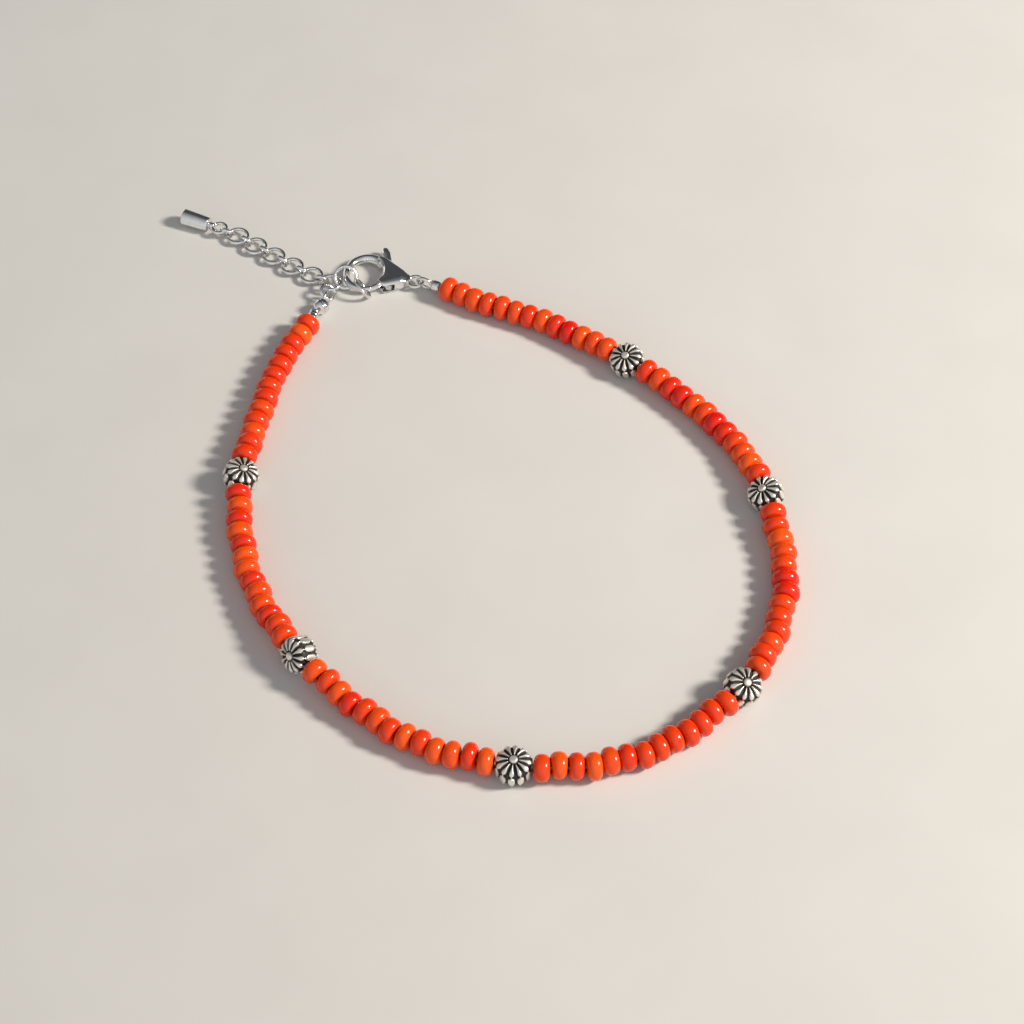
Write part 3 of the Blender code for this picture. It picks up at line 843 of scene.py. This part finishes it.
@dataclass
class WireRings:
    """Jump rings, extender links and the small links between them, of round wire."""

    finishes: Finishes
    wire: float = 0.25
    thick_wire: float = 0.29
    link_radius: float = 1.37
    link_height: float = 0.8
    pitch: float = 3.3
    steps: int = 72
    sides: int = 14
    cut_degrees: float = 3.0
    cut_depth: float = 0.3
    first_link: tuple = (-24.46, 40.0)
    headings: tuple = (153.0, 147.0, 143.0, 143.0, 143.0)
    joining_radius: float = 0.84
    joining_lean: float = 30.0
    by_clasp: tuple = (
        ("extender_link_1", (-24.71, 39.74, 1.16), (146.6, 86.6), 1.37),
        ("joining_link_1", (-26.07, 40.6, 0.97), (71.5, 24.6), 0.84),
        ("hook_ring", (-22.71, 40.7, 1.24), (-62.1, 46.7), 1.5),
        ("cover_ring", (-25.04, 37.99, 1.12), (-18.1, 48.4), 1.1),
        ("spare_ring", (-20.26, 38.35, 1.43), (23.1, 32.1), 1.43),
    )

    def build(self) -> None:
        """Build every ring and link."""
        for name, middle, (azimuth, elevation), radius in self.by_clasp:
            self._ring(name, Vector(middle), bearing(azimuth, elevation), radius)
        places = self.link_places()[1:]
        up = Vector((0.0, 0.0, 1.0))
        for number, place in enumerate(places, start=2):
            middle = Vector((place.x, place.y, self.link_height))
            self._ring(f"extender_link_{number}", middle, up, self.link_radius)
        lean = math.radians(self.joining_lean)
        height = self.joining_radius * math.cos(lean) + self.wire
        for number, (start, end) in enumerate(zip(places, places[1:]), start=2):
            along = (end - start).normalized()
            normal = Vector((along.y, -along.x, 0.0)) * math.cos(lean) + up * math.sin(lean)
            middle = (start + end) / 2
            middle.z = height
            self._ring(f"joining_link_{number}", middle, normal, self.joining_radius)
        log.info("rings and links: %d", len(self.by_clasp) + 2 * len(places) - 1)

    def link_places(self) -> list:
        """Return the plan points of the extender's links, from the clasp outwards."""
        places = [Vector((*self.first_link, 0.0))]
        for heading in self.headings:
            places.append(places[-1] + bearing(heading, 0.0) * self.pitch)
        return places

    def ring_rows(self, radius: float, seam_at: float, wire: float) -> tuple:
        """Shape a ring of wire with its closed cut.

        Args:
            radius: To the middle of the wire.
            seam_at: Where the cut is, in degrees.
            wire: Radius of the wire.

        Returns:
            Rings of points and how deep each lies in the cut.
        """
        angles = np.linspace(0.0, 2 * np.pi, self.steps, endpoint=False)
        line = np.column_stack([np.cos(angles), np.sin(angles), np.zeros(self.steps)]) * radius
        off = np.abs((np.degrees(angles) - seam_at + 180.0) % 360.0 - 180.0)
        cut = np.clip(1.0 - off / self.cut_degrees, 0.0, 1.0)
        rows = swept(line, wire * (1.0 - self.cut_depth * cut), self.sides, closed=True)
        return rows, np.repeat(cut[:, None], self.sides, axis=1)

    def _ring(self, name: str, middle: Vector, normal: Vector, radius: float) -> None:
        """Build one ring.

        Args:
            name: The CAD node it stands for.
            middle: Its middle.
            normal: Where it faces.
            radius: To the middle of its wire.
        """
        wire = self.thick_wire if name.startswith(("joining", "hook")) else self.wire
        rows, cut = self.ring_rows(radius, 37.0 * (len(name) + ord(name[-1])), wire)
        draft = Draft()
        draft.ringed(rows, True, 0, {"groove": cut})
        item = draft.made(f"fine_{name}", at(middle, normal), self.finishes.wire)
        shown(item, BODY, Slot.SILVER, name)


@dataclass
class Drop:
    """The polished drop on the extender's end, with its loop and the link that holds it."""

    rings: WireRings
    finishes: Finishes
    heading: float = 156.0
    length: float = 4.9
    radius: float = 1.2
    neck: float = 0.42
    loop_radius: float = 0.95
    slack: float = 0.57

    def build(self) -> None:
        """Build the drop and its link."""
        outwards = bearing(self.heading, 0.0)
        last = self.rings.link_places()[-1]
        small = self.rings.joining_radius
        joint = last + outwards * (self.rings.link_radius + small - self.slack)
        joint.z = self.rings.link_height + 0.12
        lean = Vector((outwards.y, -outwards.x, 0.6)).normalized()
        rows, cut = self.rings.ring_rows(small, 100.0, self.rings.thick_wire)
        draft = Draft()
        draft.ringed(rows, True, 0, {"groove": cut})
        link = draft.made("fine_joining_link_0", at(joint, lean), self.finishes.wire)
        shown(link, BODY, Slot.SILVER, "joining_link_0")
        joint.z = 0.0
        loop = joint + outwards * (small + self.loop_radius - self.slack)
        tip = loop + outwards * (self.loop_radius + self.length - self.rings.wire)
        tip.z = loop.z = self.radius
        drop = Draft()
        drop.ringed(turned(self._profile(), 48), False)
        item = drop.made("fine_drop", at(tip, -outwards), self.finishes.clasp)
        ring, _ = self.rings.ring_rows(self.loop_radius, 180.0 + self.heading, self.rings.wire)
        wire = Draft()
        wire.ringed(ring, True)
        eye = wire.made("fine_drop_loop", at(loop, Vector((0.0, 0.0, 1.0))), self.finishes.clasp)
        shown(item, BODY, Slot.SILVER, "extender_drop")
        shown(eye, BODY, Slot.SILVER, "extender_drop")
        log.info("drop: %.1f mm long", self.length)

    def _profile(self) -> list:
        """Return the drop's profile, from its flat end to its ball neck."""
        end, shoulder = self.radius, self.length - 0.95
        corners = [(0.0, 0.0), (end, 0.0), (end * 0.84, shoulder), (self.neck, shoulder + 0.08)]
        ball = [
            (0.06 + self.neck * math.sin(turn), self.length - 0.45 - 0.45 * math.cos(turn))
            for turn in np.linspace(0.9, 3.0, 12)
        ]
        return [*rounded(corners, 0.16), *ball, (0.0, self.length)]


class Casting:
    """Overlapping shells melted into one smooth cast piece."""

    def __init__(self, voxel: float, rounds: int) -> None:
        """Set the grain in millimetres and the rounds of smoothing."""
        self.voxel = voxel
        self.rounds = rounds

    def cast(self, draft: Draft, name: str, matrix: Matrix, finish: bpy.types.Material) -> bpy.types.Object:
        """Melt a draft's shells together.

        Args:
            draft: The shells, in millimetres.
            name: The piece's name.
            matrix: Where it goes.
            finish: Its material.

        Returns:
            The cast piece.
        """
        rough = draft.made(name + "_shells", matrix, finish)
        melt = rough.modifiers.new("Melt", "REMESH")
        melt.mode = "VOXEL"
        melt.voxel_size = self.voxel * MM
        melt.use_smooth_shade = True
        ease = rough.modifiers.new("Ease", "SMOOTH")
        ease.factor = 0.5
        ease.iterations = self.rounds
        bpy.context.view_layer.update()
        graph = bpy.context.evaluated_depsgraph_get()
        mesh = bpy.data.meshes.new_from_object(rough.evaluated_get(graph))
        mesh.name = name
        item = bpy.data.objects.new(name, mesh)
        bpy.context.scene.collection.objects.link(item)
        bpy.data.objects.remove(rough, do_unlink=True)
        mesh.materials.clear()
        mesh.materials.append(finish)
        mesh.shade_smooth()
        return item


@dataclass
class LobsterClasp:
    """The clasp: hook, two cheeks, pin and eye as one casting, and the sprung lever."""

    finishes: Finishes
    origin: tuple = (-20.0, 41.6)
    turn: float = -12.4
    thickness: float = 2.0
    half_length: float = 2.65
    half_width: float = 2.97
    root_angle: float = 52.0
    tip_angle: float = 296.0
    root_radius: float = 0.72
    tip_radius: float = 0.42
    pin: tuple = (3.3, -0.2, 1.0)
    eye: tuple = (7.0, 0.0, 1.0)
    tail: tuple = ((-0.05, 0.6), (-0.3, 1.6), (-0.75, 3.0), (-1.35, 4.25), (-1.78, 5.0))
    opening: tuple = (2.12, 2.42)
    wall_face: tuple = (2.14, 2.44)
    wall_back: tuple = (2.42, 2.72)
    cheek: float = 0.48
    dome: float = 0.24
    inner_edge: float = 0.5
    lip: float = 0.35
    lip_width: float = 0.28
    cheek_turn: tuple = (-38.0, 66.0)
    nose_start: float = 5.1
    nose_fall: float = 0.42
    outer_edge: float = 0.4

    def frame(self) -> Matrix:
        """Return the matrix from the clasp's millimetres to the part's frame."""
        turn = Matrix.Rotation(math.radians(self.turn), 4, "Z")
        return Matrix.Translation(placed(*self.origin, 0.0)) @ turn @ Matrix.Scale(MM, 4)

    def build(self) -> None:
        """Build the body and the lever."""
        body = Casting(0.05, 8).cast(self._body(), "fine_clasp", self.frame(), self.finishes.clasp)
        shown(body, BODY, Slot.SILVER, "clasp_body")
        lever = Casting(0.04, 6).cast(self._lever(), "fine_lever", self.frame(), self.finishes.clasp)
        shown(lever, LEVER_BODY, Slot.SILVER, "clasp_lever")
        log.info("clasp: %d and %d faces", len(body.data.polygons), len(lever.data.polygons))

    def _hook_line(self, degrees: np.ndarray) -> np.ndarray:
        """Return the middle of the hook's wire at angles round the opening."""
        turn = np.radians(degrees)
        x, y = self.half_length * np.cos(turn), self.half_width * np.sin(turn)
        return np.column_stack([x, y, np.full(len(x), self.thickness / 2)])

    def _cheek(self, side: float) -> np.ndarray:
        """Shape one domed cheek, from the opening to the outline.

        Args:
            side: 1 for the upper cheek, -1 for the lower.

        Returns:
            Rings of points round its section.
        """
        lower = ((2.5, -2.5), (3.4, -2.28), (4.6, -1.6), (5.7, -0.85), (6.2, -0.35))
        upper = ((6.2, 0.35), (5.7, 0.85), (4.2, 1.8), (2.4, 2.9), (0.9, 3.35))
        edge = smooth_through(np.array([*lower, *upper]), 6)
        turn = np.radians(np.linspace(*self.cheek_turn, 56))[:, None]
        outer = np.interp(turn, np.arctan2(edge[:, 1], edge[:, 0]), np.hypot(edge[:, 0], edge[:, 1]))
        inner = 1.0 / np.hypot(np.cos(turn) / self.opening[0], np.sin(turn) / self.opening[1])
        across = -np.cos(np.linspace(0.0, np.pi, 41))
        span = (outer - inner) / 2
        inside = (1.0 + across) * span
        near = np.clip(inside / self.inner_edge, 0.0, 1.0)
        far = np.clip((1.0 - across) * span / self.outer_edge, 0.0, 1.0)
        sloped = np.clip((np.degrees(turn) + 8.0) / 12.0, 0.0, 1.0)
        slope = self.lip * sloped * np.clip(1.0 - inside / self.lip_width, 0.0, 1.0)
        flat = 1.0 - self.cheek - slope
        section = np.concatenate([across, across[-2:0:-1]])
        radius = (inner + outer) / 2 + span * section
        nose = np.clip(radius[:, :41] * np.cos(turn) - self.nose_start, 0.0, 1.0)
        top = 1.0 - self.dome * across ** 2 - self.nose_fall * nose
        height = flat + (top - flat) * near * (1.0 - (1.0 - far) ** 2) ** 0.5
        level = np.concatenate([height, flat[:, -2:0:-1]], axis=1)
        return np.stack([radius * np.cos(turn), radius * np.sin(turn), 1.0 + side * level], axis=-1)

    def _body(self) -> Draft:
        """Gather the body's shells."""
        draft = Draft()
        share = np.linspace(0.0, 1.0, 60)
        line = self._hook_line(self.root_angle + share * (self.tip_angle - self.root_angle))
        radii = self.root_radius + share ** 0.5 * (self.tip_radius - self.root_radius)
        hook = swept(*round_ended(line, radii), 28)
        taller = 1.0 + 0.25 * np.clip(1.0 - np.linspace(0.0, 2.2, len(hook)), 0.0, 1.0)
        hook[..., 2] = 1.0 + (hook[..., 2] - 1.0) * taller[:, None]
        draft.ringed(hook, False)
        draft.ringed(self._cheek(1.0), False)
        draft.ringed(self._cheek(-1.0), False)
        block = np.array(((4.4, -1.5), (5.5, -0.9), (6.1, -0.3), (6.1, 0.3), (5.5, 0.9), (4.4, 1.5)))
        draft.plate(block, 0.46, 1.54)
        root = np.array(((1.75, 1.7), (1.75, 2.98), (0.9, 3.24), (1.0, 2.28)))
        draft.plate(root, 0.4, 1.6)
        turn = np.radians(np.linspace(3.0, 62.0, 24))
        arc = np.column_stack([np.cos(turn), np.sin(turn)])
        wall = np.concatenate([arc * self.wall_back, arc[::-1] * self.wall_face])
        draft.plate(wall, 0.8, 1.2)
        angles = np.linspace(0.0, 2 * np.pi, 64, endpoint=False)
        ring = np.column_stack([np.cos(angles), np.sin(angles), np.zeros(64)]) + np.array(self.eye)
        draft.ringed(swept(ring, np.full(64, 0.26), 16, closed=True), True)
        pin = turned(rounded([(0.0, 0.06), (0.36, 0.06), (0.36, 1.94), (0.0, 1.94)], 0.1), 24)
        pin[..., :2] *= np.where(np.abs(pin[..., 2:] - 1.0) < 0.5, 0.28 / 0.36, 1.0)
        draft.ringed(pin + np.array((self.pin[0], self.pin[1], 0.0)), False)
        return draft

    def _lever(self) -> Draft:
        """Gather the lever's shells."""
        draft = Draft()
        pin = np.array(self.pin)
        hub = [(0.43, -0.4), (0.85, -0.4), (0.85, 0.4), (0.43, 0.4)]
        draft.ringed(turned(hub, 40) + pin, True)
        gate = self._hook_line(np.array((302.0, 310.0, 320.0, 330.0)))
        line = smooth_through(np.concatenate([gate, [pin + (-0.55, -0.5, 0.0)]]), 6)
        radii = np.interp(np.linspace(0, 1, len(line)), (0, 0.3, 1), (0.36, 0.4, 0.4))
        draft.ringed(swept(*round_ended(line, radii), 20), False)
        tail = np.array([(x, y, 0.0) for x, y in self.tail]) + pin
        line = smooth_through(tail, 6)
        radii = np.interp(np.linspace(0, 1, len(line)), (0, 0.45, 0.8, 1), (0.36, 0.42, 0.66, 0.6))
        thumb = swept(*round_ended(line, radii), 24)
        thumb[..., 2] = 1.0 + (thumb[..., 2] - 1.0) * 0.85
        draft.ringed(thumb, False)
        return draft


@dataclass
class Crimps:
    """The crimp tubes at both ends of the thread, and the round cover with its loop."""

    rings: WireRings
    finishes: Finishes
    height: float = 1.45
    loop_radius: float = 1.05
    bite_depth: float = 0.16
    cover: float = 1.1

    def build(self) -> None:
        """Build the three crimps."""
        self._right()
        self._left()
        self._cover()
        log.info("crimps: 3")

    def _wire_loop(self, name: str, middle: Vector, normal: Vector, radius: float, node: str) -> None:
        """Build a loop of wire that belongs to a crimp.

        Args:
            name: The piece's name.
            middle: Its middle.
            normal: Where it faces.
            radius: To the middle of its wire.
            node: The CAD node it stands for.
        """
        rows, _ = self.rings.ring_rows(radius, 0.0, self.rings.wire)
        draft = Draft()
        draft.ringed(rows, True)
        item = draft.made(name, at(middle, normal), self.finishes.wire)
        shown(item, BODY, Slot.SILVER, node)

    def _crushed(self, radius: float, length: float, bites: int, soft: float) -> tuple:
        """Shape a tube that pliers have squeezed.

        Args:
            radius: Its radius.
            length: Its length.
            bites: How many squeezed bands it has.
            soft: How round its rims are.

        Returns:
            Rings of points and how deep each lies in a bite.
        """
        reach, bore = length / 2, 0.3
        profile = rounded([(bore, -reach), (radius, -reach), (radius, reach), (bore, reach)], soft)
        dense = []
        for start, end in zip(profile, profile[1:]):
            for t in np.linspace(0.0, 1.0, 9)[:-1]:
                dense.append(tuple(np.array(start) * (1 - t) + np.array(end) * t))
        rows = turned([*dense, profile[-1]], 32)
        wave = np.cos(rows[..., 2] / length * 2 * np.pi * bites)
        bite = np.clip(-wave, 0.0, 1.0) * (np.abs(rows[..., 2]) < reach - 0.1)
        squeeze = 1.0 - self.bite_depth * bite
        rows[..., 0] *= squeeze
        rows[..., 1] *= squeeze * 0.94
        return rows, bite * 0.5

    def _right(self) -> None:
        """Build the crimp beside the first bead, with its wire loop through the clasp's eye."""
        along = Vector((0.91, -0.41, 0.0)).normalized()
        loop = Vector((-13.2, 40.1, 0.0)) + along * 1.46
        length = 1.35
        middle = loop + along * (self.loop_radius + length / 2 - 0.05)
        rows, bite = self._crushed(0.78, length, 1, 0.4)
        draft = Draft()
        draft.ringed(rows, False, 0, {"groove": bite})
        spot = at(Vector((middle.x, middle.y, self.height)), along)
        tube = draft.made("fine_crimp_right", spot, self.finishes.clasp)
        shown(tube, BODY, Slot.SILVER, "crimp_right")
        across = Vector((-along.y, along.x, 0.25)).normalized()
        loop.z = 1.32
        self._wire_loop("fine_crimp_loop", loop, across, self.loop_radius, "crimp_right")

    def _left(self) -> None:
        """Build the crimp after the last bead."""
        along = Vector((0.25, 0.97, 0.0)).normalized()
        rows, bite = self._crushed(0.72, 1.4, 3, 0.16)
        draft = Draft()
        draft.ringed(rows, False, 0, {"groove": bite})
        spot = at(Vector((-26.75, 33.25, self.height)), along)
        item = draft.made("fine_crimp_left", spot, self.finishes.wire)
        shown(item, BODY, Slot.SILVER, "crimp_left")

    def _cover(self) -> None:
        """Build the round cover, with the seam where it was closed, and its loop."""
        polar = np.linspace(0.03, np.pi - 0.03, 40)
        profile = [(self.cover * math.sin(a), -self.cover * math.cos(a)) for a in polar]
        rows = turned(profile, 56)
        seam = np.exp(-((rows[..., 0] / 0.06) ** 2)) * (rows[..., 2] > -0.4)
        rows *= (1.0 - 0.06 * seam)[..., None]
        draft = Draft()
        draft.ringed(rows, False, 0, {"groove": seam})
        spot = at(Vector((-25.75, 35.25, 1.12)), Vector((0.2, -0.35, 0.9)).normalized())
        ball = draft.made("fine_crimp_cover", spot, self.finishes.clasp)
        shown(ball, BODY, Slot.SILVER, "crimp_cover")
        middle, normal = Vector((-25.3, 36.9, 1.02)), Vector((-0.965, 0.262, 0.0))
        self._wire_loop("fine_cover_loop", middle, normal, 0.8, "crimp_cover")


@dataclass
class Studio:
    """Plain pale floor, soft light and the photograph's viewing angle."""

    target: tuple = (5.396, -5.836, 0.0)
    distance: float = 310.0
    elevation: float = 50.2
    focal_px: float = 2453.0
    frame_px: float = 1024.0
    sensor_mm: float = 36.0
    floor_half: float = 3.0
    floor_drop: float = 0.00001
    sky_front: float = 0.28
    sky_fall: float = 0.5
    sky_least: float = 0.07

    def build(self) -> None:
        """Build the floor, the lights and the camera."""
        self._floor()
        self._light("key", (0.54, -0.06, 0.42), 0.12, 5.7, (1.0, 0.94, 0.85))
        self._light("card", (-0.262, 0.337, 0.05), 0.24, 0.16, (1.0, 0.97, 0.92))
        self._room()
        self._camera()
        bpy.context.scene.view_settings.view_transform = "Standard"
        log.info("studio: floor, lights and camera")

    def _room(self) -> None:
        """Light the room softly, brighter in front of the anklet than behind it."""
        world = bpy.data.worlds.new("studio")
        bpy.context.scene.world = world
        world.use_nodes = True
        nodes = Nodes(world.node_tree)
        way = nodes.node("ShaderNodeTexCoord", {}, {}, "Generated")
        away = nodes.node("ShaderNodeSeparateXYZ", {}, {"Vector": way}, "Y")
        sky = world.node_tree.nodes["Background"]
        nodes.feed(sky.inputs["Color"], (0.93, 0.96, 1.0, 1.0))
        nodes.feed(sky.inputs["Strength"], (self.sky_front - away * self.sky_fall).clamped() + self.sky_least)

    def _floor(self) -> None:
        """Lay the pale floor."""
        mesh = bpy.data.meshes.new("floor")
        half = self.floor_half
        corners = [(-half, -half, 0.0), (half, -half, 0.0), (half, half, 0.0), (-half, half, 0.0)]
        mesh.from_pydata(corners, [], [(0, 1, 2, 3)])
        floor = bpy.data.objects.new("floor", mesh)
        bpy.context.scene.collection.objects.link(floor)
        floor.location.z = -self.floor_drop
        shade = Shader("pale_floor")
        grain = shade.noise(60.0, 3.0)
        shade.set(
            Base_Color=shade.blend(grain, (0.62, 0.6, 0.57, 1.0), (0.68, 0.66, 0.63, 1.0)), Roughness=0.85
        )
        mesh.materials.append(shade.material)

    def _light(self, name: str, place: tuple, size: float, watts: float, colour: tuple) -> None:
        """Hang a square soft light that faces the anklet.

        Args:
            name: Its name.
            place: Where it hangs, in metres.
            size: Its side in metres.
            watts: Its power.
            colour: Its colour.
        """
        data = bpy.data.lights.new(name, "AREA")
        data.size = size
        data.energy = watts
        data.color = colour
        lamp = bpy.data.objects.new(name, data)
        bpy.context.scene.collection.objects.link(lamp)
        lamp.location = place
        lamp.visible_camera = False
        lamp.rotation_euler = (-Vector(place)).to_track_quat("-Z", "Y").to_euler()

    def _camera(self) -> None:
        """Set the camera."""
        data = bpy.data.cameras.new("camera")
        data.sensor_width = self.sensor_mm
        data.lens = self.focal_px / self.frame_px * self.sensor_mm
        camera = bpy.data.objects.new("camera", data)
        bpy.context.scene.collection.objects.link(camera)
        rise = math.radians(self.elevation)
        target = Vector(self.target) * MM
        camera.location = target + Vector((0.0, -math.cos(rise), math.sin(rise))) * self.distance * MM
        camera.rotation_euler = (target - camera.location).to_track_quat("-Z", "Y").to_euler()
        bpy.context.scene.camera = camera


def main() -> None:
    """Build the anklet's looks and the studio."""
    logging.basicConfig(level=logging.INFO, format="%(message)s")
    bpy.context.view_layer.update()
    finishes = Finishes()
    route = ThreadRoute()
    BeadStrings(route, finishes).build()
    DaisyBeads(route, finishes).build()
    rings = WireRings(finishes)
    rings.build()
    Drop(rings, finishes).build()
    LobsterClasp(finishes).build()
    Crimps(rings, finishes).build()
    Studio().build()


if __name__ == "__main__":
    main()
